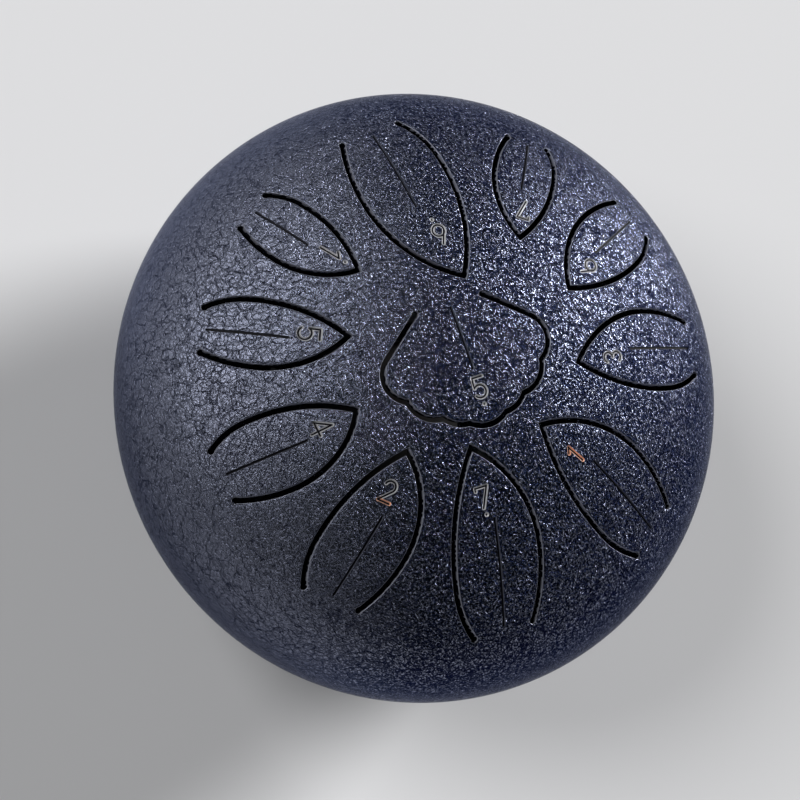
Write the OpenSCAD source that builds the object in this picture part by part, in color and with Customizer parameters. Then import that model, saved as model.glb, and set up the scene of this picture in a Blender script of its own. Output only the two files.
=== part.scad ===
// Steel tongue drum with eleven tongues, in millimetres.
// The origin is the centre of the plane that the feet stand on, and +Z is the drum's axis.

/* [Shells] */
// Outside diameter of the drum at its seam
shell_d = 155; // [150:1:165]
// Height of the upper shell above the seam
dome_h = 50; // [47:0.5:54]
// Radius of the rounded rim, which is also the depth of the lower shell
rim_r = 38.5; // [36:0.5:40]
// Thickness of the steel sheet
sheet_t = 2; // [1.6:0.1:2.4]
// Width of the welded seam at the outside of the sheet
seam_w = 2.4; // [1.6:0.1:3.2]
// Square edge left under the weld on both shells
seam_land = 0.6; // [0.3:0.1:1]
// Width of the flat ring round the sound hole, on which the feet stand
base_ring_w = 17; // [16:0.5:20]

/* [Leaf tongues] */
// Width of the unslit rim outside the roots of the leaf tongues, seen from above
root_rim_w = 15.1; // [13.6:0.1:17.5]
// Radius of the circle that the longest leaf tongue reaches in to
tip_circle_r = 19.1; // [18.6:0.1:22]
// Width of the slits that cut the tongues free
slit_w = 1.3; // [0.8:0.1:1.6]
// Diameter of the drilled ends of the slits, a little wider than the slits
slit_end_d = 1.6; // [1.4:0.1:2]
// Gap between a tongue and the shell along the line where the tongue bends
root_gap = 0.05; // [0.03:0.01:0.1]

/* [Centre tongue] */
// Length of the centre tongue, from its root to its free end
centre_l = 29.9; // [27:0.1:31]
// Distance from the drum's axis back to the root of the centre tongue
centre_back = 15.2; // [14:0.1:16]
// Sideways offset of the centre tongue
centre_side = -1.8; // [-2.5:0.1:0]
// Half the width of the centre tongue's root
centre_root_half_w = 8.7; // [7.5:0.1:9.5]
// Radius of its outermost lobe on each side
outer_lobe_r = 6.5; // [6:0.1:7]
// Radius of its five lobes along the free edge
edge_lobe_r = 7.3; // [6.8:0.1:7.8]

/* [Engraving] */
// Width of the engraved vein
vein_w = 0.7; // [0.4:0.1:1]
// Depth of the engraved vein
vein_depth = 0.5; // [0.2:0.1:1]
// Height of the engraved digits
digit_h = 5.8; // [5:0.1:6.4]
// Width of the strokes of the digits
digit_stroke_w = 0.9; // [0.6:0.1:1.1]
// Depth of the engraved digits
digit_depth = 0.4; // [0.2:0.1:0.8]
// Diameter of the octave dot
dot_d = 1.1; // [0.8:0.1:1.4]
// Gap between a digit and its octave dot
dot_gap = 0.6; // [0.4:0.1:1]

/* [Feet] */
// Diameter of a rubber foot
foot_d = 14; // [12.5:0.5:15]
// Height of a rubber foot
foot_h = 8; // [6.5:0.5:12]
// Rounding of a foot's lower edge
foot_edge_r = 1; // [0.5:0.1:1.2]
// Depth of the recess for the screw head
recess_depth = 4; // [3.6:0.1:4.6]
// Radial clearance between the washer and its recess
washer_clearance = 0.2; // [0.1:0.05:0.3]

/* [Screws] */
// Thread diameter of the foot screws
screw_d = 4; // [3:0.5:4]
// Length of the screws under the head
screw_l = 12; // [10.5:0.5:14]
// Diameter of the screw head
head_d = 7.6; // [6.6:0.1:8]
// Height of the screw head
head_h = 2.4; // [1.8:0.1:2.6]
// Rounding of the screw head's outer edge
head_edge_r = 0.8; // [0.4:0.1:1]
// Length of the arms of the cross recess
cross_l = 4.4; // [3.4:0.1:4.8]
// Width of the arms of the cross recess
cross_w = 0.9; // [0.6:0.1:1.1]
// Depth of the cross recess
cross_depth = 1.3; // [0.8:0.1:1.5]
// Outside diameter of the washer
washer_d = 9; // [8.2:0.1:9.4]
// Thickness of the washer
washer_t = 0.8; // [0.5:0.1:1]
// Width of the nut across its flats
nut_flats_w = 7; // [6.5:0.1:7.5]
// Height of the nut
nut_h = 3.2; // [2.4:0.1:3.4]
// Radial clearance of the holes that the screw passes through
screw_clearance = 0.25; // [0.15:0.05:0.35]
// Radial clearance of the screw in its nut
thread_clearance = 0.05; // [0.03:0.01:0.08]

/* [Hidden] */
$fn = 96;

// Arcs that run into each other cross at this slight angle
kink_a = 1;

// Shell curve: a crown arc that runs into the rim arc
shell_r = shell_d / 2;
rim_centre_r = shell_r - rim_r;
crown_r = (rim_centre_r * rim_centre_r + dome_h * dome_h - rim_r * rim_r)
  / (2 * (dome_h - rim_r * cos(kink_a)));
crown_z = dome_h - crown_r;
// Angle above the horizontal at which the two arcs meet
meet_a = atan2(-crown_z, rim_centre_r);
seam_z = foot_h + rim_r;
groove_depth = sheet_t - seam_land;
// One overrun serves all cuts
over = shell_r;

// The ten leaf tongues are rooted on a circle, and the longest of them sets their lengths
root_circle_r = shell_r - root_rim_w;
leaf_l = root_circle_r - tip_circle_r;

// Leaf outline, in shares of a leaf's length: where each side is widest, how wide it is there,
// and the half width at the root. The first value of a pair is the fuller side.
widest_shares = [0.565, 0.75];
side_shares = [0.295, 0.262];
root_half_share = 0.189;

// One row for each leaf tongue: its node, the angle of its root, how far it leans from the
// radius, its length and width as shares of the longest leaf's, where its vein ends, its digit,
// and its octave dot (-1 below, 1 above, 0 none)
leaf_shares = [
  ["tongue_low_6", 169, 6.1, 0.97, 1.01, 0.48, 6, -1],
  ["tongue_low_7", -19.2, 7, 1, 0.92, 0.4, 7, -1],
  ["tongue_1", 24, 2.7, 0.95, 0.95, 0.4, 1, 0],
  ["tongue_2", -59.6, 6.3, 0.83, 1.04, 0.43, 2, 0],
  ["tongue_3", 68.5, 3.6, 0.84, 0.97, 0.44, 3, 0],
  ["tongue_4", -95.5, 2.1, 0.73, 1.08, 0.4, 4, 0],
  ["tongue_5", -128, 2.6, 0.73, 0.93, 0.42, 5, 0],
  ["tongue_6", 101.3, 2.6, 0.71, 1.03, 0.44, 6, 0],
  ["tongue_7", 131.4, 4.1, 0.65, 1.01, 0.48, 7, 0],
  ["tongue_high_1", -157.4, 1.5, 0.63, 1.02, 0.47, 1, 1]
];
// Where a leaf's digit sits, where its vein starts at the root, and how far the vein's inner end
// lies to the side, all in shares of the leaf's length
digit_place_share = 0.275;
vein_root_share = 0.975;
vein_side_share = 0.04;

// Centre tongue: direction of its axis, and its lobes in shares of its length
centre_a = -11;
outer_lobe_shares = [0.44, 0.488];
edge_lobe_shares = [[0.602, 0.341], [0.7, 0.154]];
end_lobe_share = 0.756;
// How near to the outer lobe's edge its side line is carried
touch_share = 0.99;
centre_vein_shares = [0.03, 0.54];
centre_digit_share = 0.7;

// Steps of the wedge that trims an arc, and how much wider a stroke's round ends are
wedge_steps = 8;
stroke_end_share = 0.02;

// Strokes of the digits, in shares of the digit's height, from its middle: lines as rows of
// points, and arcs as middle, radius, first and last angle
digit_line_shares = [
  [],
  [[[0, -0.42], [0, 0.42], [-0.19, 0.25]]],
  [[[0.195, 0.08], [-0.24, -0.42], [0.26, -0.42]]],
  [],
  [[[0.1, -0.42], [0.1, 0.42], [-0.29, -0.15], [0.29, -0.15]]],
  [[[0.24, 0.42], [-0.18, 0.42], [-0.21, 0.02]]],
  [[[-0.22, -0.1], [0.1, 0.42]]],
  [[[-0.25, 0.3], [-0.25, 0.42], [0.25, 0.42], [-0.06, -0.42]]]
];
digit_arc_shares = [
  [],
  [],
  [[[0, 0.2], 0.225, -32, 165]],
  [[[0, 0.21], 0.21, -90, 150], [[0, -0.21], 0.21, -150, 90]],
  [],
  [[[-0.01, -0.16], 0.26, -145, 140]],
  [[[0, -0.17], 0.25, 0, 360]],
  []
];

// Feet: on a circle midway between the sound hole and the edge of the flat base
sound_hole_r = rim_centre_r - base_ring_w;
foot_count = 4;
foot_first_a = 45;
foot_circle_r = rim_centre_r - base_ring_w / 2;
base_top_z = foot_h + sheet_t;
recess_d = washer_d + 2 * washer_clearance;
washer_z = recess_depth - washer_t;
screw_hole_d = screw_d + 2 * screw_clearance;

paint = [0.16, 0.18, 0.33];
zinc = [0.72, 0.73, 0.75];
black_rubber = [0.06, 0.06, 0.065];

// Half section of the space inside the shells, drawn in from the outside by inset
module upper_section(inset = 0) {
  meet_far = [rim_centre_r, 0] + over * [cos(meet_a), sin(meet_a)];
  intersection() {
    translate([0, crown_z]) circle(crown_r - inset);
    union() {
      translate([rim_centre_r, 0]) circle(rim_r - inset);
      polygon([[0, 0], [rim_centre_r, 0], meet_far, [0, over + dome_h]]);
    }
    square([shell_r + over, over]);
  }
}

module lower_section(inset = 0) {
  translate([0, inset - rim_r]) square([rim_centre_r, rim_r - inset]);
  intersection() {
    translate([rim_centre_r, 0]) circle(rim_r - inset);
    translate([rim_centre_r, -over]) square([shell_r + over, over]);
  }
}

// The groove that the weld fills, open at the outside and closed at the land
module seam_groove_section() {
  translate([shell_r - groove_depth, 0])
    polygon([[0, 0], [2 * groove_depth, -seam_w], [2 * groove_depth, seam_w]]);
}

module dome_sheet() {
  translate([0, 0, seam_z]) rotate_extrude() difference() {
    upper_section();
    upper_section(sheet_t);
  }
}

module dome_core(inset) {
  translate([0, 0, seam_z]) rotate_extrude() upper_section(inset);
}

// Upright prism of an outline, through the upper shell and clear of the weld
module through_dome() {
  translate([0, 0, seam_z + seam_w]) linear_extrude(dome_h) children();
}

// Round hole along Z through everything at the origin
module bore(d) {
  cylinder(h = 2 * over, d = d, center = true);
}

// Leaf frame: the tip is at the origin and the root lies on +X
module at_leaf(row) {
  root = root_circle_r * [cos(row[1]), sin(row[1])];
  translate(root) rotate(row[1] + row[2]) translate([-leaf_l * row[3], 0]) children();
}

module at_centre_tongue() {
  rotate(centre_a) translate([-centre_back, centre_side]) children();
}

// Arc through the widest point of a side and through one end of it, turned in by turn_a at the
// widest point: its radius and its centre
function side_arc(widest, end, turn_a) =
  let (run = abs(end[0] - widest[0]), fall = widest[1] - end[1],
    r = norm([run, fall]) / (2 * sin(atan2(fall, run) - turn_a)))
  [r, widest - r * [sign(end[0] - widest[0]) * sin(turn_a), cos(turn_a)]];

function leaf_arcs(l, w, side) =
  let (widest = [widest_shares[side] * l, side_shares[side] * l * w])
  [side_arc(widest, [0, 0], side == 0 ? kink_a : 0),
    side_arc(widest, [l, root_half_share * l * w], side == 0 ? 0 : kink_a)];

// One side of a leaf: an arc from the tip and an arc from the root that meet where the leaf is
// widest. Side 0 lies on +Y, and its tip arc is the tighter one; on side 1 it is the root arc.
module leaf_side(l, w, side, grow) {
  arcs = leaf_arcs(l, w, side);
  tight = arcs[side];
  wide = arcs[1 - side];
  mirror([0, side]) intersection() {
    translate(wide[1]) circle(wide[0] + grow);
    union() {
      translate(tight[1]) circle(tight[0] + grow);
      translate([tight[1][0] - side * over, -over]) square([over, 2 * over]);
    }
  }
}

module leaf_outline(l, w, grow) {
  intersection() {
    leaf_side(l, w, 0, grow);
    leaf_side(l, w, 1, grow);
  }
}

// Round ends of the two slits at a root
module slit_ends(x, half_w) {
  for (sign = [1, -1]) translate([x, sign * half_w]) circle(slit_end_d / 2);
}

// Opening in the shell for a leaf tongue
module leaf_hole(l, w) {
  difference() {
    leaf_outline(l, w, slit_w / 2);
    translate([l, -over]) square([over, 2 * over]);
  }
  slit_ends(l, root_half_share * l * w);
}

module leaf_blade(l, w) {
  difference() {
    leaf_outline(l, w, -slit_w / 2);
    translate([l - root_gap, -over]) square([over, 2 * over]);
    slit_ends(l, root_half_share * l * w);
  }
}

// Centre tongue frame: the middle of the root is at the origin and the free end lies on +X
function side_a() =
  let (to = outer_lobe_shares * centre_l - [0, centre_root_half_w])
  atan2(to[1], to[0]) + asin(outer_lobe_r / norm(to));

module centre_outline(grow) {
  outer = outer_lobe_shares * centre_l;
  touch_a = side_a() + 90 + kink_a;
  touch = outer + touch_share * (outer_lobe_r + grow) * [cos(touch_a), sin(touch_a)];
  root = [0, centre_root_half_w + grow / cos(side_a())];
  half_edge = concat([root, touch, outer], edge_lobe_shares * centre_l);
  polygon(concat([for (p = half_edge) [p[0], -p[1]]], [for (i = [len(half_edge) - 1:-1:0]) half_edge[i]]));
  for (sign = [1, -1]) {
    translate([outer[0], sign * outer[1]]) circle(outer_lobe_r + grow);
    for (lobe = edge_lobe_shares) translate([lobe[0], sign * lobe[1]] * centre_l) circle(edge_lobe_r + grow);
  }
  translate([end_lobe_share * centre_l, 0]) circle(edge_lobe_r + grow);
}

// Opening in the shell for the centre tongue
module centre_hole() {
  centre_outline(slit_w / 2);
  slit_ends(0, centre_root_half_w);
}

module centre_blade() {
  difference() {
    centre_outline(-slit_w / 2);
    translate([root_gap - over, -over]) square([over, 2 * over]);
    slit_ends(0, centre_root_half_w);
  }
}

// Strokes with round ends that are a trace wider than the stroke
module stroke_end(place, w) {
  translate(place) circle(w * (1 + stroke_end_share) / 2);
}

module stroke(from, to, w) {
  along = to - from;
  translate(from) rotate(atan2(along[1], along[0])) translate([0, -w / 2]) square([norm(along), w]);
  for (end = [from, to]) stroke_end(end, w);
}

module arc_stroke(r, a0, a1, w) {
  steps = [for (i = [0:wedge_steps]) a0 + (a1 - a0) * i / wedge_steps];
  intersection() {
    difference() {
      circle(r + w / 2);
      circle(r - w / 2);
    }
    if (a1 - a0 < 360) polygon(concat([[0, 0]], [for (a = steps) 2 * r * [cos(a), sin(a)]]));
  }
  if (a1 - a0 < 360) for (a = [a0, a1]) stroke_end(r * [cos(a), sin(a)], w);
}

// A digit with its top towards +Y, and its octave dot
module digit(n, dot) {
  for (line = digit_line_shares[n], i = [1:len(line) - 1])
    stroke(line[i - 1] * digit_h, line[i] * digit_h, digit_stroke_w);
  for (arc = digit_arc_shares[n])
    translate(arc[0] * digit_h) arc_stroke(arc[1] * digit_h, arc[2], arc[3], digit_stroke_w);
  if (dot != 0) translate([0, dot * (digit_h / 2 + dot_gap + dot_d / 2)]) circle(dot_d / 2);
}

// What is cut from the sheet's outer face to a depth below it
module engraving(depth) {
  difference() {
    through_dome() children();
    dome_core(depth);
  }
}

module upper_shell() {
  color(paint) difference() {
    dome_sheet();
    translate([0, 0, seam_z]) rotate_extrude() seam_groove_section();
    through_dome() {
      for (row = leaf_shares) at_leaf(row) leaf_hole(leaf_l * row[3], row[4]);
      at_centre_tongue() centre_hole();
    }
  }
}

module lower_shell() {
  color(paint) difference() {
    translate([0, 0, seam_z]) rotate_extrude() difference() {
      lower_section();
      lower_section(sheet_t);
      seam_groove_section();
    }
    bore(2 * sound_hole_r);
    for (i = [1:foot_count]) at_foot(i) bore(screw_hole_d);
  }
}

// The weld stands flush with the outside of both shells
module seam_weld() {
  color(paint) translate([0, 0, seam_z]) rotate_extrude($fn = 360) intersection() {
    union() {
      upper_section();
      lower_section();
    }
    seam_groove_section();
  }
}

module leaf_tongue(row) {
  l = leaf_l * row[3];
  color(paint) difference() {
    intersection() {
      dome_sheet();
      through_dome() at_leaf(row) leaf_blade(l, row[4]);
    }
    engraving(vein_depth) at_leaf(row)
      stroke([row[5], vein_side_share] * l, [vein_root_share * l, 0], vein_w);
    engraving(digit_depth) at_leaf(row)
      translate([digit_place_share * l, 0]) rotate(90) digit(row[6], row[7]);
  }
}

module tongue_centre_low_5() {
  color(paint) difference() {
    intersection() {
      dome_sheet();
      through_dome() at_centre_tongue() centre_blade();
    }
    engraving(vein_depth) at_centre_tongue()
      stroke([centre_vein_shares[0] * centre_l, 0], [centre_vein_shares[1] * centre_l, 0], vein_w);
    engraving(digit_depth) at_centre_tongue()
      translate([centre_digit_share * centre_l, 0]) rotate(90) digit(5, -1);
  }
}

module at_foot(i) {
  rotate(foot_first_a + (i - 1) * 360 / foot_count) translate([foot_circle_r, 0, 0]) children();
}

// A disc whose lower outer edge is rounded
module rounded_disc(d, h, edge_r) {
  rotate_extrude() {
    square([d / 2 - edge_r, h]);
    translate([0, edge_r]) square([d / 2, h - edge_r]);
    intersection() {
      translate([d / 2 - edge_r, edge_r]) circle(edge_r);
      square([d / 2, h]);
    }
  }
}

module foot(i) {
  color(black_rubber) at_foot(i) difference() {
    rounded_disc(foot_d, foot_h, foot_edge_r);
    translate([0, 0, recess_depth - over]) cylinder(h = over, d = recess_d);
    bore(screw_hole_d);
  }
}

module foot_washer(i) {
  color(zinc) at_foot(i) translate([0, 0, washer_z]) difference() {
    cylinder(h = washer_t, d = washer_d);
    bore(screw_hole_d);
  }
}

module foot_screw(i) {
  color(zinc) at_foot(i) translate([0, 0, washer_z - head_h]) {
    difference() {
      union() {
        rounded_disc(head_d, head_h, head_edge_r);
        cylinder(h = head_h + screw_l, d = screw_d);
      }
      for (a = [0, 90]) rotate(a) cube([cross_l, cross_w, 2 * cross_depth], center = true);
    }
  }
}

module foot_nut(i) {
  color(zinc) at_foot(i) translate([0, 0, base_top_z]) difference() {
    cylinder(h = nut_h, d = nut_flats_w / cos(30), $fn = 6);
    bore(screw_d + 2 * thread_clearance);
  }
}

upper_shell();
lower_shell();
seam_weld();
tongue_centre_low_5();
for (row = leaf_shares) leaf_tongue(row);
for (i = [1:foot_count]) {
  foot(i);
  foot_washer(i);
  foot_screw(i);
  foot_nut(i);
}
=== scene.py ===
import math

import bmesh
import bpy
from mathutils import Matrix, Vector
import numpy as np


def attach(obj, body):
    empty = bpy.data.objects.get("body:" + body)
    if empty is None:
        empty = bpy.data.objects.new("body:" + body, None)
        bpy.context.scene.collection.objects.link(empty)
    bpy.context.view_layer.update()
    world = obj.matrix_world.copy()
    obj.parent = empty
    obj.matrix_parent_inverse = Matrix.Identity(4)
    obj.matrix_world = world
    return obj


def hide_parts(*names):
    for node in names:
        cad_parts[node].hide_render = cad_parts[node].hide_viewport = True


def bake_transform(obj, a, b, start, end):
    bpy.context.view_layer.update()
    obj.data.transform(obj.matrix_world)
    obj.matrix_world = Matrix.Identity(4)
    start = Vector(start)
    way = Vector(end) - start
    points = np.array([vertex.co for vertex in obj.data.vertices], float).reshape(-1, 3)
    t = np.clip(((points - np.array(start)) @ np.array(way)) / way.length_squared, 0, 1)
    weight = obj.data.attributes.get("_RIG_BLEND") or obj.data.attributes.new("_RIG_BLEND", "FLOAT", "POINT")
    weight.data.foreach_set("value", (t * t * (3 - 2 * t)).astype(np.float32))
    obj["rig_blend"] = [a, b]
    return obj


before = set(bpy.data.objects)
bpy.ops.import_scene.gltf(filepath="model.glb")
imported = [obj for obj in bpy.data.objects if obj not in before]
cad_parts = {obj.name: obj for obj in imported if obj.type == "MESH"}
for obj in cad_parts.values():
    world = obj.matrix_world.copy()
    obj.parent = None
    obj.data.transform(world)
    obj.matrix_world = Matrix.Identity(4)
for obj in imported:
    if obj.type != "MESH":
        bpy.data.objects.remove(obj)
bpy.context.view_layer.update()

mm = 0.001  # the pieces are drawn in millimetres and scaled at the end

print("stage: camera, floor and light")

view = {
    "elevation": 71.2,       # of the line from the drum up to the camera
    "lean": 29.32,           # how far the drum's axis leans up from the picture's right
    "distance": 620.0,
    "focalPixels": 2442.2,
    "aim": (0.0, 0.0, 46.5),
    "aimPixel": (418.7, 395.5),
    "picture": 800.0,
    "sensor": 36.0,
    "nearest": 10.0,         # nothing nearer to the camera than this is drawn
}


def addCamera():
    e = math.radians(view["elevation"])
    back = Vector((0, -math.cos(e), math.sin(e)))
    flatRight = Vector((1, 0, 0))
    flatUp = back.cross(flatRight)
    roll = math.radians(view["lean"] - 90)
    right = flatRight * math.cos(roll) - flatUp * math.sin(roll)
    up = flatRight * math.sin(roll) + flatUp * math.cos(roll)
    data = bpy.data.cameras.new("photoView")
    data.sensor_width = view["sensor"]
    data.lens = view["focalPixels"] / view["picture"] * view["sensor"]
    data.clip_start = view["nearest"] * mm
    camera = bpy.data.objects.new("photoView", data)
    bpy.context.scene.collection.objects.link(camera)
    middle = view["picture"] / 2
    offRight = (view["aimPixel"][0] - middle) / view["focalPixels"]
    offUp = (middle - view["aimPixel"][1]) / view["focalPixels"]
    # turn the camera a little, so that the drum's middle falls off the picture's middle
    turn = Matrix((right, up, back)).transposed()
    swing = Vector((offRight, offUp, -1)).rotation_difference(Vector((0, 0, -1)))
    place = Vector(view["aim"]) * mm + back * view["distance"] * mm
    camera.matrix_world = Matrix.Translation(place) @ (turn @ swing.to_matrix()).to_4x4()
    bpy.context.scene.camera = camera


def addSoftLight(name, azimuth, elevation, spread, power):
    # a broad, even light that comes from one side of the room
    data = bpy.data.lights.new(name, "SUN")
    data.angle = math.radians(spread)
    data.energy = power
    lamp = bpy.data.objects.new(name, data)
    bpy.context.scene.collection.objects.link(lamp)
    a, e = math.radians(azimuth), math.radians(elevation)
    out = Vector((math.cos(a) * math.cos(e), math.sin(a) * math.cos(e), math.sin(e)))
    lamp.location = out
    lamp.rotation_euler = out.to_track_quat("Z", "Y").to_euler()


# the paper has a painted shadow close under the drum, so that the slits stay dark
paper = {
    "radius": 40.0,
    "pale": (0.72, 0.72, 0.73, 1),
    "dark": (0.04, 0.04, 0.04, 1),
    "darkWithin": 45.0,
    "paleBeyond": 65.0,
    "roughness": 0.9,
}


def addFloor():
    bm = bmesh.new()
    bmesh.ops.create_circle(bm, cap_ends=True, segments=64, radius=paper["radius"])
    mesh = bpy.data.meshes.new("floor")
    bm.to_mesh(mesh)
    bm.free()
    floor = bpy.data.objects.new("floor", mesh)
    bpy.context.scene.collection.objects.link(floor)
    material = bpy.data.materials.new("palePaper")
    material.use_nodes = True
    nodes, links = material.node_tree.nodes, material.node_tree.links
    shader = nodes["Principled BSDF"]
    place = nodes.new("ShaderNodeTexCoord")
    away = nodes.new("ShaderNodeVectorMath")
    away.operation = "LENGTH"
    links.new(place.outputs["Object"], away.inputs[0])
    # painted shadow: the paper's colour turns dark under the drum
    shade = nodes.new("ShaderNodeMapRange")
    shade.inputs["From Min"].default_value = paper["darkWithin"] * mm
    shade.inputs["From Max"].default_value = paper["paleBeyond"] * mm
    links.new(away.outputs["Value"], shade.inputs["Value"])
    tint = nodes.new("ShaderNodeMix")
    tint.data_type = "RGBA"
    tint.inputs["A"].default_value = paper["dark"]
    tint.inputs["B"].default_value = paper["pale"]
    links.new(shade.outputs["Result"], tint.inputs["Factor"])
    links.new(tint.outputs["Result"], shader.inputs["Base Color"])
    shader.inputs["Roughness"].default_value = paper["roughness"]
    # seen from below, the floor lets the eye through to the drum's underside
    clear = nodes.new("ShaderNodeBsdfTransparent")
    facing = nodes.new("ShaderNodeNewGeometry")
    choice = nodes.new("ShaderNodeMixShader")
    links.new(facing.outputs["Backfacing"], choice.inputs["Fac"])
    links.new(shader.outputs["BSDF"], choice.inputs[1])
    links.new(clear.outputs["BSDF"], choice.inputs[2])
    links.new(choice.outputs["Shader"], nodes["Material Output"].inputs["Surface"])
    mesh.materials.append(material)


studio = {"colour": (0.75, 0.77, 0.8, 1), "strength": 0.08}
# each lamp's azimuth, elevation, spread and power
softLights = {
    "keyLight": (90, 19, 21, 5.2),
    "leftLight": (-145, 38, 38, 2.0),
}


def setWorld():
    world = bpy.data.worlds.new("studio")
    world.use_nodes = True
    background = world.node_tree.nodes["Background"]
    background.inputs["Color"].default_value = studio["colour"]
    background.inputs["Strength"].default_value = studio["strength"]
    bpy.context.scene.world = world
    bpy.context.scene.view_settings.view_transform = "Standard"


addCamera()
addFloor()
setWorld()
for name, row in softLights.items():
    addSoftLight(name, *row)

print("stage: finishes")


def nodeGroup(name, inputs, outputs):
    group = bpy.data.node_groups.new(name, "ShaderNodeTree")
    for label, kind, value in inputs:
        socket = group.interface.new_socket(label, in_out="INPUT", socket_type=kind)
        if value is not None:
            socket.default_value = value
    for label, kind in outputs:
        group.interface.new_socket(label, in_out="OUTPUT", socket_type=kind)
    start = group.nodes.new("NodeGroupInput")
    end = group.nodes.new("NodeGroupOutput")
    return group, start, end


paint = {
    # the hollows' colour is the paint's own dark navy; the bright colour is a painted glint on the pebbles'
    # tops
    "hollow": (0.006, 0.008, 0.020, 1),
    "crest": (0.370, 0.395, 0.510, 1),
    # the lips' wear colour, lightened as a painted highlight
    "worn": (0.30, 0.31, 0.37, 1),
    "limb": (0.40, 0.43, 0.55, 1),
    "metallic": 0.97,
    "wornMetallic": 0.4,
    "roughness": 0.24,
    "bump": 0.1,
    # the side of the drum that gets the painted sheen
    "skinSide": (-0.51, -0.86, 0),
    "skinRange": (4.0, 50.0),      # how far out on that side the painted sheen fades in
    "wornRange": (0.03, 0.2),      # how far a rounded lip falls where the wear and painted highlight fade in
    "wornHeight": 2.5,
}


wrinkles = {
    "creases": 300.0,
    "pebbles": 1900.0,
    "noiseDetail": 3,
    "warpScale": 500.0,
    "warpReach": 2.8,
    "wide": (0.06, 1.0),           # a crease's width in its cell, and its cells' number
    "narrow": (0.12, 2.7),
    "narrowHeight": 0.8,
    "grainTurn": -10,
    "grainStretch": (0.75, 1.2, 1.0),
    "pebbleRoughness": 0.65,
    "pebbleHeight": 2.3,
    # the pebbles' weight in the painted glints and where the glints come in, then the painted sheen's range
    # and shade
    "pebbleShade": 9.0,
    "crestRange": (5.8, 8.2),
    "skinRange": (1.5, 3.5),
    "skinShade": (0.05, 0.56),
}


def scaleAndAdd(nodes, links, value, factor, rest):
    node = nodes.new("ShaderNodeMath")
    node.operation = "MULTIPLY_ADD"
    links.new(value, node.inputs[0])
    node.inputs[1].default_value = factor
    links.new(rest, node.inputs[2])
    return node.outputs[0]


def mapRange(nodes, links, value, source, target=(0.0, 1.0), smooth=False):
    node = nodes.new("ShaderNodeMapRange")
    if smooth:
        node.interpolation_type = "SMOOTHSTEP"
    node.inputs["From Min"].default_value = source[0]
    node.inputs["From Max"].default_value = source[1]
    node.inputs["To Min"].default_value = target[0]
    node.inputs["To Max"].default_value = target[1]
    links.new(value, node.inputs["Value"])
    return node.outputs["Result"]


def wrinkleGroup():
    # a network of thin creases with fine pebbles between them, with masks for painted glints and a painted
    # sheen
    group, start, end = nodeGroup(
        "wrinkleCoat",
        [("Vector", "NodeSocketVector", None), ("Creases", "NodeSocketFloat", wrinkles["creases"]),
         ("Pebbles", "NodeSocketFloat", wrinkles["pebbles"])],
        [("Height", "NodeSocketFloat"), ("Crest", "NodeSocketFloat"), ("Skin", "NodeSocketFloat")])
    nodes, links = group.nodes, group.links
    warp = nodes.new("ShaderNodeTexNoise")
    warp.inputs["Scale"].default_value = wrinkles["warpScale"]
    warp.inputs["Detail"].default_value = wrinkles["noiseDetail"]
    links.new(start.outputs["Vector"], warp.inputs["Vector"])
    spread = nodes.new("ShaderNodeVectorMath")
    spread.operation = "MULTIPLY_ADD"
    links.new(warp.outputs["Color"], spread.inputs[0])
    spread.inputs[1].default_value = [wrinkles["warpReach"] * mm] * 3
    links.new(start.outputs["Vector"], spread.inputs[2])
    heights = {}
    for size in ("wide", "narrow"):
        width, number = wrinkles[size]
        cells = nodes.new("ShaderNodeTexVoronoi")
        cells.feature = "DISTANCE_TO_EDGE"
        links.new(spread.outputs[0], cells.inputs["Vector"])
        scale = nodes.new("ShaderNodeMath")
        scale.operation = "MULTIPLY"
        links.new(start.outputs["Creases"], scale.inputs[0])
        scale.inputs[1].default_value = number
        links.new(scale.outputs[0], cells.inputs["Scale"])
        heights[size] = mapRange(nodes, links, cells.outputs["Distance"], (0, width), smooth=True)
    both = scaleAndAdd(nodes, links, heights["narrow"], wrinkles["narrowHeight"], heights["wide"])
    grain = nodes.new("ShaderNodeMapping")
    grain.inputs["Rotation"].default_value = (0, 0, math.radians(wrinkles["grainTurn"]))
    grain.inputs["Scale"].default_value = wrinkles["grainStretch"]
    links.new(start.outputs["Vector"], grain.inputs["Vector"])
    pebble = nodes.new("ShaderNodeTexNoise")
    pebble.inputs["Detail"].default_value = wrinkles["noiseDetail"]
    pebble.inputs["Roughness"].default_value = wrinkles["pebbleRoughness"]
    links.new(grain.outputs["Vector"], pebble.inputs["Vector"])
    links.new(start.outputs["Pebbles"], pebble.inputs["Scale"])
    height = scaleAndAdd(nodes, links, pebble.outputs["Fac"], wrinkles["pebbleHeight"], both)
    # painted glints on the pebbles' tops, and painted shade along the creases
    shade = scaleAndAdd(nodes, links, pebble.outputs["Fac"], wrinkles["pebbleShade"], both)
    crest = mapRange(nodes, links, shade, wrinkles["crestRange"], smooth=True)
    # a smooth painted sheen that follows the wrinkles' height
    paintedSheen = mapRange(nodes, links, height, wrinkles["skinRange"], wrinkles["skinShade"])
    links.new(height, end.inputs["Height"])
    links.new(crest, end.inputs["Crest"])
    links.new(paintedSheen, end.inputs["Skin"])
    return group


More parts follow.
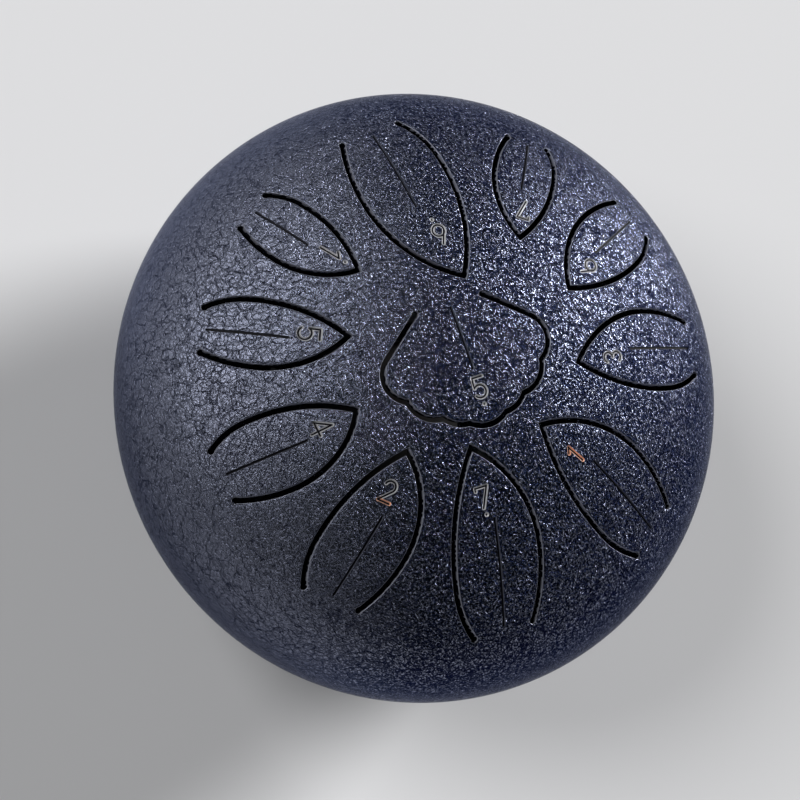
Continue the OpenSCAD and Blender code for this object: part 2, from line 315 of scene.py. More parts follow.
def wrinklePaint(coat):
    material = bpy.data.materials.new("wrinklePaint")
    material.use_nodes = True
    nodes, links = material.node_tree.nodes, material.node_tree.links
    shader = nodes["Principled BSDF"]
    place = nodes.new("ShaderNodeTexCoord")
    wrinkle = nodes.new("ShaderNodeGroup")
    wrinkle.node_tree = coat
    links.new(place.outputs["Object"], wrinkle.inputs["Vector"])
    # one side of the drum gets a smooth painted sheen, and the rest has painted glints on its fine grains
    across = nodes.new("ShaderNodeVectorMath")
    across.operation = "DOT_PRODUCT"
    links.new(place.outputs["Object"], across.inputs[0])
    across.inputs[1].default_value = paint["skinSide"]
    skinRange = [distance * mm for distance in paint["skinRange"]]
    paintedSheenMask = mapRange(nodes, links, across.outputs["Value"], skinRange, smooth=True)
    paintedGlintsAndSheen = nodes.new("ShaderNodeMix")
    links.new(paintedSheenMask, paintedGlintsAndSheen.inputs["Factor"])
    links.new(wrinkle.outputs["Crest"], paintedGlintsAndSheen.inputs["A"])
    links.new(wrinkle.outputs["Skin"], paintedGlintsAndSheen.inputs["B"])
    tint = nodes.new("ShaderNodeMix")
    tint.data_type = "RGBA"
    tint.inputs["A"].default_value = paint["hollow"]
    tint.inputs["B"].default_value = paint["crest"]
    links.new(paintedGlintsAndSheen.outputs["Result"], tint.inputs["Factor"])
    # the coat is thin, smooth and a little worn on the rounded lips of the slits, and these lips also get a
    # painted highlight
    lipMark = nodes.new("ShaderNodeAttribute")
    lipMark.attribute_name = "drop"
    worn = mapRange(nodes, links, lipMark.outputs["Fac"], paint["wornRange"])
    edge = nodes.new("ShaderNodeMix")
    edge.data_type = "RGBA"
    edge.inputs["B"].default_value = paint["worn"]
    links.new(worn, edge.inputs["Factor"])
    links.new(tint.outputs["Result"], edge.inputs["A"])
    links.new(edge.outputs["Result"], shader.inputs["Base Color"])
    flatten = nodes.new("ShaderNodeMix")
    links.new(worn, flatten.inputs["Factor"])
    links.new(wrinkle.outputs["Height"], flatten.inputs["A"])
    flatten.inputs["B"].default_value = paint["wornHeight"]
    bump = nodes.new("ShaderNodeBump")
    bump.inputs["Strength"].default_value = 1.0
    bump.inputs["Distance"].default_value = paint["bump"] * mm
    links.new(flatten.outputs["Result"], bump.inputs["Height"])
    links.new(bump.outputs["Normal"], shader.inputs["Normal"])
    lustre = mapRange(nodes, links, worn, (0, 1), (paint["metallic"], paint["wornMetallic"]))
    links.new(lustre, shader.inputs["Metallic"])
    shader.inputs["Roughness"].default_value = paint["roughness"]
    shader.inputs["Specular Tint"].default_value = paint["limb"]
    return material


fineGrain = {"scale": 1800.0, "detail": 4, "dark": 0.7, "light": 1.2}


def grainyFinish(name, colour, roughness, metallic=1.0):
    material = bpy.data.materials.new(name)
    material.use_nodes = True
    nodes, links = material.node_tree.nodes, material.node_tree.links
    shader = nodes["Principled BSDF"]
    place = nodes.new("ShaderNodeTexCoord")
    grain = nodes.new("ShaderNodeTexNoise")
    grain.inputs["Scale"].default_value = fineGrain["scale"]
    grain.inputs["Detail"].default_value = fineGrain["detail"]
    links.new(place.outputs["Object"], grain.inputs["Vector"])
    tint = nodes.new("ShaderNodeMix")
    tint.data_type = "RGBA"
    tint.inputs["A"].default_value = [c * fineGrain["dark"] for c in colour] + [1]
    tint.inputs["B"].default_value = [min(1, c * fineGrain["light"]) for c in colour] + [1]
    links.new(grain.outputs["Fac"], tint.inputs["Factor"])
    links.new(tint.outputs["Result"], shader.inputs["Base Color"])
    shader.inputs["Metallic"].default_value = metallic
    shader.inputs["Roughness"].default_value = roughness
    return material


coat = wrinkleGroup()
paintFinish = wrinklePaint(coat)
# a finish's name, colour, roughness and how metallic it is
bareFinish = grainyFinish("bareEngraving", (0.60, 0.60, 0.62), 0.4, 0.5)
veinFinish = grainyFinish("wornVein", (0.07, 0.075, 0.10), 0.5, 0.0)
# a painted warm reflection on parts of two digits
paintedReflectionFinish = grainyFinish("warmEngraving", (0.90, 0.50, 0.36), 0.35, 0.5)
# the grooves' floors: dark paint, made near black and dull as painted shade
grooveShadeFinish = grainyFinish("grooveFloor", (0.006, 0.006, 0.009), 0.6, 0.0)
grooveShadeFinish.node_tree.nodes["Principled BSDF"].inputs["Specular IOR Level"].default_value = 0.1
zincFinish = grainyFinish("zincPlate", (0.62, 0.63, 0.64), 0.32)
rubberFinish = grainyFinish("footRubber", (0.03, 0.03, 0.032), 0.75, 0.0)

print("stage: upper shell")

shell = {
    "radius": 77.5,
    "domeHeight": 50.0,
    "rimRadius": 38.5,
    "sheet": 2.0,
    "seamHeight": 46.5,
    "crossing": 1.0,         # degrees between the crown's arc and the rim's where they meet
    "fieldRadius": 66.0,     # the crown out to here carries the slits
    "cellSize": 2.0,
    "cellShift": 0.37,       # share of a cell that keeps the grid off the outlines' own points
    "segments": 288,
    "rimSteps": 24,
    "sideSteps": 40,
    "seamWidth": 2.4,
    "seamLand": 0.6,
    "seamSteps": 6,
}
lip = {
    "radius": 0.35,
    "steps": 3,
    "pointSpacing": 0.55,
    "rootSpacing": 1.5,
    "wallFoot": -2.0,        # the lips' mark at the foot of a wall, so that neither wear nor painted highlight shows there
    "sharpAngle": 38,
}
# points closer than this are one: at a cut, on a sheet and where spun parts meet
cutNear = 1e-5
mergeNear = 1e-4
mergeSpun = 2e-3
slack = 0.01

rimCentre = shell["radius"] - shell["rimRadius"]
crownRadius = ((rimCentre ** 2 + shell["domeHeight"] ** 2 - shell["rimRadius"] ** 2)
               / (2 * (shell["domeHeight"] - shell["rimRadius"] * math.cos(math.radians(shell["crossing"])))))
crownCentre = shell["domeHeight"] - crownRadius
meetAngle = math.atan2(-crownCentre, rimCentre)


def flatLength(point):
    return math.hypot(point.x, point.y)


def domeHeightAt(r, inset=0.0):
    # height of the sheet's outside, or of a face inset into it, at a radius seen from above
    crown = crownCentre + math.sqrt((crownRadius - inset) ** 2 - r * r)
    rim = shell["rimRadius"] - inset
    if r <= rimCentre + rim * math.cos(meetAngle):
        return shell["seamHeight"] + crown
    return shell["seamHeight"] + min(crown, math.sqrt(max(0.0, rim ** 2 - (r - rimCentre) ** 2)))


def arcTo(bm, vert, centre, end, way):
    # spins a point round a centre to an end point, and gives the last point
    a = math.atan2(vert.co.y - centre[1], vert.co.x - centre[0])
    b = math.atan2(end[1] - centre[1], end[0] - centre[0])
    turn = (b - a) % (2 * math.pi) if way > 0 else -((a - b) % (2 * math.pi))
    radius = math.hypot(end[0] - centre[0], end[1] - centre[1])
    steps = max(1, math.ceil(abs(turn) * radius / lip["pointSpacing"]))
    made = bmesh.ops.spin(bm, geom=[vert], cent=(centre[0], centre[1], 0), axis=(0, 0, 1),
                          angle=turn, steps=steps, use_duplicate=False)
    last = [v for v in made["geom_last"] if isinstance(v, bmesh.types.BMVert)][0]
    last.co = (end[0], end[1], 0)
    return last


def lineTo(bm, vert, end, spacing=None):
    # extrudes a point along a line, and gives the last point and all that were made
    run = Vector((end[0] - vert.co.x, end[1] - vert.co.y, 0))
    steps = max(1, math.ceil(run.length / (spacing or lip["pointSpacing"])))
    made = []
    for _ in range(steps):
        grown = bmesh.ops.extrude_vert_indiv(bm, verts=[vert])["verts"]
        bmesh.ops.translate(bm, vec=run / steps, verts=grown)
        vert = grown[0]
        made.append(vert)
    return vert, made


def crossing(c1, r1, c2, r2, near):
    # of the two points where two circles meet, the one nearer to a given point
    dx, dy = c2[0] - c1[0], c2[1] - c1[1]
    d = math.hypot(dx, dy)
    along = (d * d + r1 * r1 - r2 * r2) / (2 * d)
    aside = math.sqrt(max(0.0, r1 * r1 - along * along))
    both = [(c1[0] + (dx * along - side * dy * aside) / d, c1[1] + (dy * along + side * dx * aside) / d)
            for side in (1, -1)]
    return min(both, key=lambda p: math.hypot(p[0] - near[0], p[1] - near[1]))


slit = {
    "width": 1.3,
    "endDiameter": 1.6,
    "holeSide": 0.6,         # where a slit's wall runs into its drilled end, past the end's middle
    "tongueSide": -0.65,
    "inward": 0.5,
}
# lengths in millimetres, then shares of a leaf's length
leafShape = {
    "longest": 43.3,
    "rootCircle": 62.4,
    "widest": (0.565, 0.75),
    "side": (0.295, 0.262),
    "rootHalf": 0.189,
}
# digit, octave dot, angle, lean, length and width shares, and where the vein ends
leaves = {
    "tongue_low_6": (6, -1, 169, 6.1, 0.97, 1.01, 0.48),
    "tongue_low_7": (7, -1, -19.2, 7, 1, 0.92, 0.4),
    "tongue_1": (1, 0, 24, 2.7, 0.95, 0.95, 0.4),
    "tongue_2": (2, 0, -59.6, 6.3, 0.83, 1.04, 0.43),
    "tongue_3": (3, 0, 68.5, 3.6, 0.84, 0.97, 0.44),
    "tongue_4": (4, 0, -95.5, 2.1, 0.73, 1.08, 0.4),
    "tongue_5": (5, 0, -128, 2.6, 0.73, 0.93, 0.42),
    "tongue_6": (6, 0, 101.3, 2.6, 0.71, 1.03, 0.44),
    "tongue_7": (7, 0, 131.4, 4.1, 0.65, 1.01, 0.48),
    "tongue_high_1": (1, 1, -157.4, 1.5, 0.63, 1.02, 0.47),
}
centre = {
    "angle": -11,
    "back": 15.2,
    "side": -1.8,
    "length": 29.9,
    "rootHalf": 8.7,
    "outerLobe": (0.44, 0.488),
    "outerRadius": 6.5,
    "edgeLobes": ((0.602, 0.341), (0.7, 0.154), (0.756, 0.0)),
    "edgeRadius": 7.3,
    "vein": (0.03, 0.54),
    "digitAt": 0.7,
}


def leafPlace(row):
    # puts a leaf's tip at the origin of its own plane, with its root outward on the root circle
    angle, lean, length = row[2], row[3], row[4] * leafShape["longest"]
    root = Matrix.Rotation(math.radians(angle), 4, "Z") @ Vector((leafShape["rootCircle"], 0, 0))
    return (Matrix.Translation(root) @ Matrix.Rotation(math.radians(angle + lean), 4, "Z")
            @ Matrix.Translation((-length, 0, 0)))


def centrePlace():
    return (Matrix.Rotation(math.radians(centre["angle"]), 4, "Z")
            @ Matrix.Translation((-centre["back"], centre["side"], 0)))


def sideArc(widest, end, turn):
    # centre and radius of an arc from a side's widest point, where it leans by turn, to an end
    run, fall = abs(end[0] - widest[0]), widest[1] - end[1]
    r = math.hypot(run, fall) / (2 * math.sin(math.atan2(fall, run) - turn))
    sign = 1 if end[0] > widest[0] else -1
    return (widest[0] - sign * r * math.sin(turn), widest[1] - r * math.cos(turn)), r


def leafLoop(bm, row, grow, hole):
    # outline of a leaf, grown to the slit's outer wall or shrunk to the tongue's own edge
    length, width = row[4] * leafShape["longest"], row[5]
    half = leafShape["rootHalf"] * length * width
    kink = math.radians(shell["crossing"])
    arcs = []
    for side, sign in ((0, 1), (1, -1)):
        widest = (leafShape["widest"][side] * length, leafShape["side"][side] * length * width)
        tip = sideArc(widest, (0, 0), kink if side == 0 else 0)
        root = sideArc(widest, (length, half), 0 if side == 0 else kink)
        both = [((c[0], sign * c[1]), r + grow) for c, r in (tip, root)]
        arcs.append(both + [(widest[0], sign * (widest[1] + grow))])
    endRadius = slit["endDiameter"] / 2
    aside = half + slit["holeSide" if hole else "tongueSide"]
    near = length - slit["inward"]
    ends = [crossing((length, sign * half), endRadius, *arcs[side][1], (near, sign * aside))
            for side, sign in ((0, 1), (1, -1))]
    waist = [crossing(*toTip, *toRoot, widest) for toTip, toRoot, widest in arcs]
    tip = crossing(*arcs[0][0], *arcs[1][0], (-2 * grow, 0))
    way = -1 if hole else 1
    first = bm.verts.new((length, -half + endRadius, 0))
    v = arcTo(bm, first, (length, -half), ends[1], way)
    v = arcTo(bm, v, arcs[1][1][0], waist[1], -1)
    v = arcTo(bm, v, arcs[1][0][0], tip, -1)
    v = arcTo(bm, v, arcs[0][0][0], waist[0], -1)
    v = arcTo(bm, v, arcs[0][1][0], ends[0], -1)
    v = arcTo(bm, v, (length, half), (length, half - endRadius), way)
    return lineTo(bm, v, first.co, lip["rootSpacing"])[1][:-1]


def centreLoop(bm, grow, hole):
    # outline of the lobed tongue, grown or shrunk in the same way
    length, half = centre["length"], centre["rootHalf"]
    outer = [share * length for share in centre["outerLobe"]]
    toLobe = (outer[0], outer[1] - half)
    sideAngle = math.atan2(toLobe[1], toLobe[0]) + math.asin(centre["outerRadius"] / math.hypot(*toLobe))
    along = (math.cos(sideAngle), math.sin(sideAngle))
    endRadius = slit["endDiameter"] / 2
    reach = math.sqrt(endRadius ** 2 - grow ** 2)
    lobes = [(outer, centre["outerRadius"] + grow)]
    lobes += [((x * length, y * length), centre["edgeRadius"] + grow) for x, y in centre["edgeLobes"]]
    lobes += [((c[0], -c[1]), r) for c, r in reversed(lobes[:-1])]
    lobes.reverse()  # from the lower side round to the upper one

    def sidePoint(sign):
        return (reach * along[0] - grow * along[1], sign * (half + reach * along[1] + grow * along[0]))

    touchAngle = sideAngle + math.pi / 2
    first = bm.verts.new((0, -half + endRadius, 0))
    v = arcTo(bm, first, (0, -half), sidePoint(-1), 1 if hole else -1)
    low, r = lobes[0]
    v, _ = lineTo(bm, v, (low[0] + r * math.cos(touchAngle), low[1] - r * math.sin(touchAngle)))
    for (c1, r1), (c2, r2) in zip(lobes, lobes[1:]):
        out = ((c1[0] + c2[0]) * 2, (c1[1] + c2[1]) * 2)
        v = arcTo(bm, v, c1, crossing(c1, r1, c2, r2, out), 1)
    high, r = lobes[-1]
    v = arcTo(bm, v, high, (high[0] + r * math.cos(touchAngle), high[1] + r * math.sin(touchAngle)), 1)
    v, _ = lineTo(bm, v, sidePoint(1))
    v = arcTo(bm, v, (0, half), (0, half - endRadius), 1 if hole else -1)
    return lineTo(bm, v, first.co, lip["rootSpacing"])[1][:-1]


def newSheet():
    # marks: how far a lip falls, which face of the sheet, the line of a root, and the lips' strips
    bm = bmesh.new()
    bm.verts.layers.float.new("drop")
    bm.verts.layers.float.new("under")
    bm.verts.layers.int.new("root")
    bm.faces.layers.int.new("strip")
    return bm


def addLoop(bm, place, build):
    # adds an outline in its own plane, marks its root and turns it into place
    before = set(bm.verts)
    for v in build():
        v[bm.verts.layers.int["root"]] = 1
    made = [v for v in bm.verts if v not in before]
    bmesh.ops.transform(bm, matrix=place, verts=made)


def cornersOf(faces):
    return set(v for f in faces for v in f.verts)


def raiseSheet(bm):
    # fills a flat outline, rounds its lips, and lifts it to the sheet's two faces
    drop, under = bm.verts.layers.float["drop"], bm.verts.layers.float["under"]
    root, strip = bm.verts.layers.int["root"], bm.faces.layers.int["strip"]
    inField = shell["fieldRadius"] - slack
    bmesh.ops.remove_doubles(bm, verts=bm.verts, dist=mergeNear)
    bmesh.ops.triangle_fill(bm, use_beauty=True, use_dissolve=False, edges=bm.edges[:], normal=(0, 0, 1))
    bm.normal_update()
    bmesh.ops.reverse_faces(bm, faces=[f for f in bm.faces if f.normal.z < 0])
    top = bm.faces[:]
    for v in bm.verts:
        v[drop] = 0.0 if v[root] or flatLength(v.co) > inField else lip["radius"]
    copy = bmesh.ops.duplicate(bm, geom=bm.verts[:] + bm.edges[:] + bm.faces[:])
    low = [g for g in copy["geom"] if isinstance(g, bmesh.types.BMFace)]
    for v in cornersOf(low):
        v[under] = 1.0
        v[drop] = 0.0
    bmesh.ops.reverse_faces(bm, faces=low)
    for field, count in ((top, lip["steps"]), (low, 1)):
        for step in range(count):
            a, b = (math.pi / 2 * k / count for k in (step, step + 1))
            width = lip["radius"] * (math.cos(a) - math.cos(b))
            made = bmesh.ops.inset_region(bm, faces=field, use_boundary=True, use_even_offset=True,
                                          thickness=width)["faces"]
            for f in made:
                f[strip] = 1
            for v in cornersOf(field):
                if v[drop] > 0:
                    v[drop] = lip["radius"] * (1 - math.sin(b))
    reach = [max(abs(v.co[k]) for v in bm.verts) for k in (0, 1)]
    # the fill's long triangles are cut into cells, so that they follow the dome
    inner = [f for f in bm.faces if not f[strip]]
    geom = inner + list(set(e for f in inner for e in f.edges)) + list(cornersOf(inner))
    for axis in (0, 1):
        normal = Vector((1 - axis, axis, 0))
        count = int(reach[axis] / shell["cellSize"]) + 1
        for i in range(-count, count + 1):
            at = normal * (i + shell["cellShift"]) * shell["cellSize"]
            geom = bmesh.ops.bisect_plane(bm, geom=geom, dist=cutNear, plane_co=at, plane_no=normal)["geom"]
    for v in bm.verts:
        v.co.z = domeHeightAt(flatLength(v.co), shell["sheet"] * v[under]) - v[drop]
    walls = [e for e in bm.edges if e.is_boundary and not any(v[under] for v in e.verts)
             and min(flatLength(v.co) for v in e.verts) < inField]
    grown = bmesh.ops.extrude_edge_only(bm, edges=walls)["geom"]
    for v in [g for g in grown if isinstance(g, bmesh.types.BMVert)]:
        v[under] = 1.0
        v[drop] = lip["wallFoot"]
        v.co.z = domeHeightAt(flatLength(v.co), shell["sheet"])
    bmesh.ops.remove_doubles(bm, verts=bm.verts, dist=mergeNear)


def spunChain(bm, points, segments):
    # a chain of (radius, height) points turned once round the drum's axis
    vert = bm.verts.new((0, points[0][0], points[0][1]))
    chain = [vert]
    for r, z in points[1:]:
        grown = bmesh.ops.extrude_vert_indiv(bm, verts=[chain[-1]])["verts"][0]
        grown.co = (0, r, z)
        chain.append(grown)
    edges = list(set(e for v in chain for e in v.link_edges))
    bmesh.ops.spin(bm, geom=chain + edges, cent=(0, 0, 0), axis=(0, 0, 1), angle=2 * math.pi,
                   steps=segments, use_merge=True, use_duplicate=False)


def arcPoints(centre, radius, start, end, count):
    # points of a section along an arc, whose angles are in degrees
    turns = [math.radians(start + (end - start) * i / count) for i in range(count + 1)]
    return [(centre[0] + radius * math.cos(t), centre[1] + radius * math.sin(t)) for t in turns]


def finishPiece(bm, name, materials, sharpAngle=lip["sharpAngle"]):
    # makes a piece in metres, and keeps only the marks that its paint reads
    bmesh.ops.recalc_face_normals(bm, faces=bm.faces)
    bmesh.ops.scale(bm, vec=(mm, mm, mm), verts=bm.verts)
    mesh = bpy.data.meshes.new(name)
    bm.to_mesh(mesh)
    bm.free()
    for layer in ("under", "root", "strip"):
        if layer in mesh.attributes:
            mesh.attributes.remove(mesh.attributes[layer])
    mesh.polygons.foreach_set("use_smooth", [True] * len(mesh.polygons))
    mesh.set_sharp_from_angle(angle=math.radians(sharpAngle))
    for material in materials:
        mesh.materials.append(material)
    piece = bpy.data.objects.new(name, mesh)
    bpy.context.scene.collection.objects.link(piece)
    print("  ", name, len(mesh.polygons), "faces")
    return piece


def grooveCorner(sign):
    # angle at which the weld's slope leaves the outside of a shell, found in a few rounds
    deep = shell["sheet"] - shell["seamLand"]
    angle = 0.0
    for _ in range(20):
        rise = (shell["radius"] - rimCentre) * math.sin(angle)
        reach = rimCentre + shell["rimRadius"] * math.cos(angle)
        slope = (reach - shell["radius"] + deep) * shell["seamWidth"] / (2 * deep)
        angle += (slope - rise) / shell["rimRadius"]
    return sign * math.degrees(angle)


def upperRim():
    # section of the upper shell outside the field of slits, down to the weld's groove and back up
    seam = shell["seamHeight"]
    outer = math.degrees(math.acos((shell["fieldRadius"] - rimCentre) / shell["rimRadius"]))
    inside = shell["rimRadius"] - shell["sheet"]
    inner = math.degrees(math.acos((shell["fieldRadius"] - rimCentre) / inside))
    outward = arcPoints((rimCentre, seam), shell["rimRadius"], outer, grooveCorner(1), shell["rimSteps"])
    back = arcPoints((rimCentre, seam), inside, 0, inner, shell["rimSteps"])
    return outward + [(shell["radius"] - shell["sheet"] + shell["seamLand"], seam)] + back


def upperShell():
    bm = newSheet()
    for name, row in leaves.items():
        addLoop(bm, leafPlace(row), lambda: leafLoop(bm, row, slit["width"] / 2, True))
    addLoop(bm, centrePlace(), lambda: centreLoop(bm, slit["width"] / 2, True))
    bmesh.ops.create_circle(bm, cap_ends=False, segments=shell["segments"], radius=shell["fieldRadius"])
    raiseSheet(bm)
    rim = bmesh.new()
    spunChain(rim, upperRim(), shell["segments"])
    rimMesh = bpy.data.meshes.new("rim")
    rim.to_mesh(rimMesh)
    rim.free()
    bm.from_mesh(rimMesh)
    bpy.data.meshes.remove(rimMesh)
    bmesh.ops.remove_doubles(bm, verts=bm.verts, dist=mergeSpun)
    return finishPiece(bm, "upperShell", [paintFinish])


def keep(piece, body, node):
    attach(piece, body)
    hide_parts(node)


keep(upperShell(), "drum", "upper_shell")

print("stage: tongues")

# a stroke's width at the sheet's face, its width at the floor, and its depth
engraving = {
    "vein": (0.7, 0.5, 0.5),
    "digit": (0.9, 0.4, 0.35),
    "dot": (1.1, 0.5, 0.35),
    "digitHeight": 5.8,
    "dotGap": 0.6,
    "digitAt": 0.275,
    "veinRoot": 0.975,
    "veinAside": 0.04,
    "above": 0.6,
    "sides": 20,
    "cell": 1.2,
    "arcStep": 0.25,
    "floorFacing": -0.9,
}
# strokes in shares of a digit's height: lines as rows of points, arcs as centre, radius and angles
digitLines = {
    1: [[(0, -0.42), (0, 0.42), (-0.19, 0.25)]],
    2: [[(0.195, 0.08), (-0.24, -0.42), (0.26, -0.42)]],
    3: [],
    4: [[(0.1, -0.42), (0.1, 0.42), (-0.29, -0.15), (0.29, -0.15)]],
    5: [[(0.24, 0.42), (-0.18, 0.42), (-0.21, 0.02)]],
    6: [[(-0.22, -0.1), (0.1, 0.42)]],
    7: [[(-0.25, 0.3), (-0.25, 0.42), (0.25, 0.42), (-0.06, -0.42)]],
}
digitArcs = {
    1: [],
    2: [((0, 0.2), 0.225, -32, 165)],
    3: [((0, 0.21), 0.21, -90, 150), ((0, -0.21), 0.21, -150, 90)],
    4: [],
    5: [((-0.01, -0.16), 0.26, -145, 140)],
    6: [((0, -0.17), 0.25, 0, 360)],
    7: [],
}


def strokeSection(form):
    # half widths at the floor and above the sheet, and the depth
    width, floor, depth = form
    slope = (width - floor) / 2 / depth
    return floor / 2, width / 2 + slope * engraving["above"], depth


def cutStroke(bm, start, end, form, place):
    # a capsule with sloped sides, from the stroke's floor to above the sheet
    low, high, depth = strokeSection(form)
    before = set(bm.verts)
    above, sides = engraving["above"], engraving["sides"]
    middle = Matrix.Translation((0, 0, (above - depth) / 2)) @ Matrix.Rotation(math.pi / sides, 4, "Z")
    made = bmesh.ops.create_cone(bm, cap_ends=True, segments=sides, radius1=low, radius2=high,
                                 depth=depth + above, matrix=middle)["verts"]
    run = Vector((end[0] - start[0], end[1] - start[1], 0))
    for v in made:
        if v.co.x > 0:
            v.co.x += run.length
    geom = list(made) + list(set(e for v in made for e in v.link_edges))
    geom += list(set(f for v in made for f in v.link_faces))
    cells = int(run.length / engraving["cell"])
    for i in range(1, cells + 1):
        at = (run.length * i / (cells + 1), 0, 0)
        geom = bmesh.ops.bisect_plane(bm, geom=geom, dist=cutNear, plane_co=at, plane_no=(1, 0, 0))["geom"]
    turn = Matrix.Rotation(math.atan2(run.y, run.x), 4, "Z")
    grown = [v for v in bm.verts if v not in before]
    bmesh.ops.transform(bm, matrix=place @ Matrix.Translation((start[0], start[1], 0)) @ turn, verts=grown)


def cutArc(bm, middle, radius, first, last, form, place):
    # the same section spun round an arc, with a round end on each side where it isn't a full ring
    before = set(bm.verts)
    low, high, depth = strokeSection(form)
    corners = [(radius - low, -depth), (radius + low, -depth),
               (radius + high, engraving["above"]), (radius - high, engraving["above"])]
    verts = [bm.verts.new((r, 0, z)) for r, z in corners]
    ring = [bm.edges.new((verts[i], verts[(i + 1) % 4])) for i in range(4)]
    closed = last - first >= 360
    bmesh.ops.rotate(bm, verts=verts, cent=(0, 0, 0), matrix=Matrix.Rotation(math.radians(first), 3, "Z"))
    sweep = math.radians(last - first)
    steps = max(6, int(sweep * radius / engraving["arcStep"]))
    made = bmesh.ops.spin(bm, geom=verts + ring, cent=(0, 0, 0), axis=(0, 0, 1), angle=sweep,
                          steps=steps, use_merge=closed, use_duplicate=False)
    if not closed:
        lastRing = [g for g in made["geom_last"] if isinstance(g, bmesh.types.BMEdge)]
        for edges in (ring, lastRing):
            bmesh.ops.contextual_create(bm, geom=edges)
    grown = [v for v in bm.verts if v not in before]
    bmesh.ops.transform(bm, matrix=place @ Matrix.Translation((middle[0], middle[1], 0)), verts=grown)
    if not closed:
        for angle in (first, last):
            a = math.radians(angle)
            at = (middle[0] + radius * math.cos(a), middle[1] + radius * math.sin(a))
            cutStroke(bm, at, at, form, place)


def cutDigit(bm, number, dot, place):
    height = engraving["digitHeight"]
    for line in digitLines[number]:
        for a, b in zip(line, line[1:]):
            cutStroke(bm, [c * height for c in a], [c * height for c in b], engraving["digit"], place)
    for middle, radius, first, last in digitArcs[number]:
        at = [c * height for c in middle]
        cutArc(bm, at, radius * height, first, last, engraving["digit"], place)
    if dot:
        at = (0, dot * (height / 2 + engraving["dotGap"] + engraving["dot"][0] / 2))
        cutStroke(bm, at, at, engraving["dot"], place)


# these digits get a painted copper reflection below this height, in millimetres from their middle
paintedReflectionBelow = {"tongue_1": 9.0, "tongue_2": -1.8}


def takeAway(piece, tool, overlapping=False):
    # cuts the tool, whose own parts may cross, out of the piece, and leaves its materials on the cut
    cut = piece.modifiers.new("cut", "BOOLEAN")
    cut.operation = "DIFFERENCE"
    cut.solver = "EXACT"
    cut.use_self = overlapping
    cut.material_mode = "TRANSFER"
    cut.object = tool
    graph = bpy.context.evaluated_depsgraph_get()
    piece.data = bpy.data.meshes.new_from_object(piece.evaluated_get(graph))
    piece.modifiers.clear()
    bpy.data.objects.remove(tool)
    piece.data.set_sharp_from_angle(angle=math.radians(lip["sharpAngle"]))


def addTongue(name, node, place, build, row):
    # row: the vein's ends, the digit's place, the digit, its dot, the root and a point inward of it
    bm = newSheet()
    addLoop(bm, place, lambda: build(bm))
    raiseSheet(bm)
    piece = finishPiece(bm, name, [paintFinish])
    veinFrom, veinTo, digitPlace, number, dot, rootPoint, inward = row
    cuts = bmesh.new()
    cutStroke(cuts, veinFrom, veinTo, engraving["vein"], place)
    veinFaces = set(cuts.faces)
    cutDigit(cuts, number, dot, place @ digitPlace)
    bmesh.ops.recalc_face_normals(cuts, faces=cuts.faces)
    back = (place @ digitPlace).inverted()
    paintedReflectionLine = paintedReflectionBelow.get(node, -2 * engraving["digitHeight"])
    for f in cuts.faces:
        # the floors are dark paint with painted shade, the digits' sloped sides are bare metal, and the
        # vein's are worn
        isFloor = f.normal.z < engraving["floorFacing"]
        f.material_index = 1 if isFloor else 2 if f in veinFaces else 0
        # a painted copper reflection on the lower parts of some digits
        if f.material_index == 0 and (back @ f.calc_center_median()).y < paintedReflectionLine:
            f.material_index = 3
    for v in cuts.verts:
        v.co.z += domeHeightAt(flatLength(v.co))
    finishes = [bareFinish, grooveShadeFinish, veinFinish, paintedReflectionFinish]
    takeAway(piece, finishPiece(cuts, name + "Cuts", finishes, 180), True)
    start = (place @ Vector(rootPoint)) * mm
    end = (place @ Vector(inward)) * mm
    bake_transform(piece, "drum", node, start, end)
    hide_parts(node)
    return piece


flexLength = 9.0  # how far in from its root a tongue bends
quarter = Matrix.Rotation(math.pi / 2, 4, "Z")
for name, row in leaves.items():
    length = row[4] * leafShape["longest"]
    words = name.split("_")
    label = words[0] + "".join(word.capitalize() for word in words[1:])
    addTongue(label, name, leafPlace(row), lambda bm: leafLoop(bm, row, -slit["width"] / 2, False),
              ((row[6] * length, engraving["veinAside"] * length), (engraving["veinRoot"] * length, 0),
               Matrix.Translation((engraving["digitAt"] * length, 0, 0)) @ quarter, row[0], row[1],
               (length, 0, 0), (length - flexLength, 0, 0)))
veinFrom, veinTo = [share * centre["length"] for share in centre["vein"]]
addTongue("centreTongue", "tongue_centre_low_5", centrePlace(),
          lambda bm: centreLoop(bm, -slit["width"] / 2, False),
          ((veinFrom, 0), (veinTo, 0),
           Matrix.Translation((centre["digitAt"] * centre["length"], 0, 0)) @ quarter,
           5, -1, (0, 0, 0), (flexLength, 0, 0)))

print("stage: lower shell and seam")

base = {
    "soundHole": 22.0,
    "edge": 0.5,             # rounding of the sound hole's edges
    "edgeSteps": 5,
    "footCircle": 30.5,
    "screwHole": 4.5,
    "screwSides": 32,
    "drillLength": 8.0,
    "inset": 3.0,            # from the flat's ends to its nearest points
    "top": 10.0,
    "bottom": 8.0,
    "feet": 4,
    "firstFoot": 45,
}


def footPlace(i):
    turn = math.radians(base["firstFoot"] + 360 / base["feet"] * i)
    return Matrix.Rotation(turn, 4, "Z") @ Matrix.Translation((base["footCircle"], 0, 0))


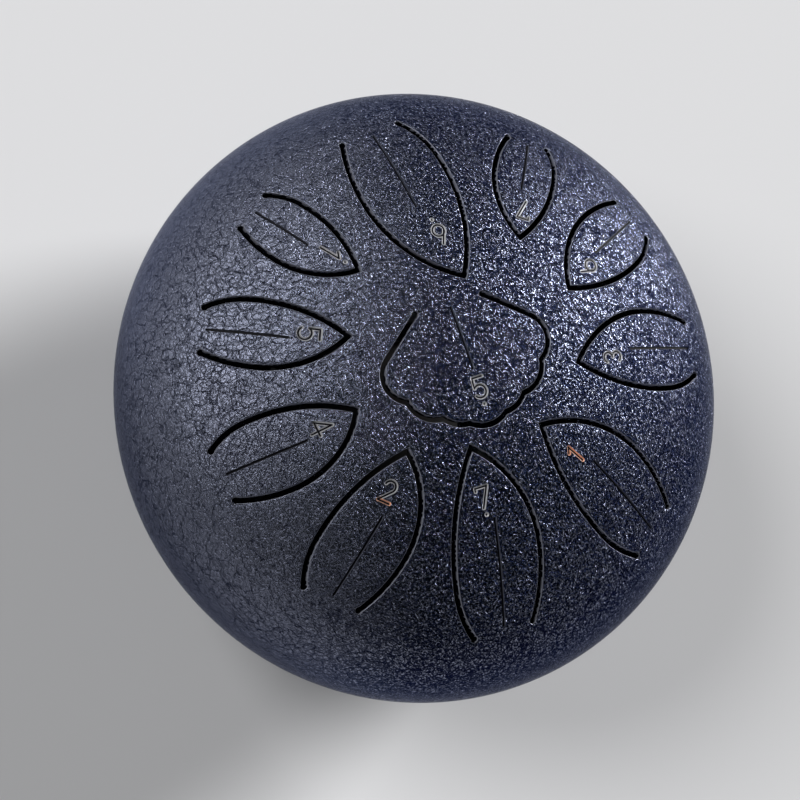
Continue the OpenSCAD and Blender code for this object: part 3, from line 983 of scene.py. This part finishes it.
def lowerSection():
    # once round the bowl's wall: down the outside, round the sound hole's edge and up the inside
    seam, rim, sheet = shell["seamHeight"], shell["rimRadius"], shell["sheet"]
    hole, edge, inset = base["soundHole"], base["edge"], base["inset"]
    outside = arcPoints((rimCentre, seam), rim, grooveCorner(-1), -90, shell["sideSteps"])
    inside = arcPoints((rimCentre, seam), rim - sheet, -90, 0, shell["sideSteps"])
    lowLip = arcPoints((hole + edge, base["bottom"] + edge), edge, -90, -180, base["edgeSteps"])
    highLip = arcPoints((hole + edge, base["top"] - edge), edge, 180, 90, base["edgeSteps"])
    land = [(shell["radius"] - sheet + shell["seamLand"], seam)]
    flat = [(r, base["bottom"]) for r in (rimCentre - inset, base["footCircle"], hole + inset)]
    flatBack = [(r, base["top"]) for r, _ in reversed(flat)]
    return land + outside + flat + lowLip + highLip + flatBack + inside + land


def lowerShell():
    bm = bmesh.new()
    spunChain(bm, lowerSection(), shell["segments"])
    bmesh.ops.remove_doubles(bm, verts=bm.verts, dist=mergeSpun)
    piece = finishPiece(bm, "lowerShell", [paintFinish])
    tools = bmesh.new()
    screwRadius = base["screwHole"] / 2
    for i in range(base["feet"]):
        at = footPlace(i) @ Matrix.Translation((0, 0, base["bottom"]))
        bmesh.ops.create_cone(tools, cap_ends=True, segments=base["screwSides"], radius1=screwRadius,
                              radius2=screwRadius, depth=base["drillLength"], matrix=at)
    takeAway(piece, finishPiece(tools, "screwHoles", [paintFinish]))
    return piece


def seamWeld():
    bm = bmesh.new()
    root = [(shell["radius"] - shell["sheet"] + shell["seamLand"], shell["seamHeight"])]
    middle = (rimCentre, shell["seamHeight"])
    face = arcPoints(middle, shell["rimRadius"], grooveCorner(1), grooveCorner(-1), shell["seamSteps"])
    spunChain(bm, root + face + root, shell["segments"])
    bmesh.ops.remove_doubles(bm, verts=bm.verts, dist=mergeSpun)
    return finishPiece(bm, "seamWeld", [paintFinish])


keep(lowerShell(), "drum", "lower_shell")
keep(seamWeld(), "drum", "seam_weld")

print("stage: feet")

foot = {
    "radius": 7.0,
    "height": 8.0,
    "recess": 4.7,
    "recessDepth": 4.0,
    "hole": 2.25,
    "segments": 64,
    # the edges' radii, and the steps round them
    "mouthEdge": (0.4, 4),
    "lowerEdge": (1.0, 8),
    "upperEdge": (0.5, 5),
}


def footSection():
    radius, height = foot["radius"], foot["height"]
    mouth, mouthSteps = foot["mouthEdge"]
    low, lowSteps = foot["lowerEdge"]
    high, highSteps = foot["upperEdge"]
    start = [(foot["hole"], foot["recessDepth"]), (foot["recess"], foot["recessDepth"])]
    rim = arcPoints((foot["recess"] + mouth, mouth), mouth, 180, 270, mouthSteps)
    lower = arcPoints((radius - low, low), low, -90, 0, lowSteps)
    upper = arcPoints((radius - high, height - high), high, 0, 90, highSteps)
    return start + rim + lower + upper + [(foot["hole"], height), start[0]]


def rubberFoot(i):
    bm = bmesh.new()
    spunChain(bm, footSection(), foot["segments"])
    bmesh.ops.remove_doubles(bm, verts=bm.verts, dist=mergeSpun)
    bmesh.ops.transform(bm, matrix=footPlace(i), verts=bm.verts)
    return finishPiece(bm, "foot" + str(i + 1), [rubberFinish])


for i in range(base["feet"]):
    keep(rubberFoot(i), "drum", "foot_" + str(i + 1))
# the fixings keep the shapes that they come with
for name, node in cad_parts.items():
    if name.startswith(("foot_washer", "foot_screw", "foot_nut")):
        node.data.materials.clear()
        node.data.materials.append(zincFinish)
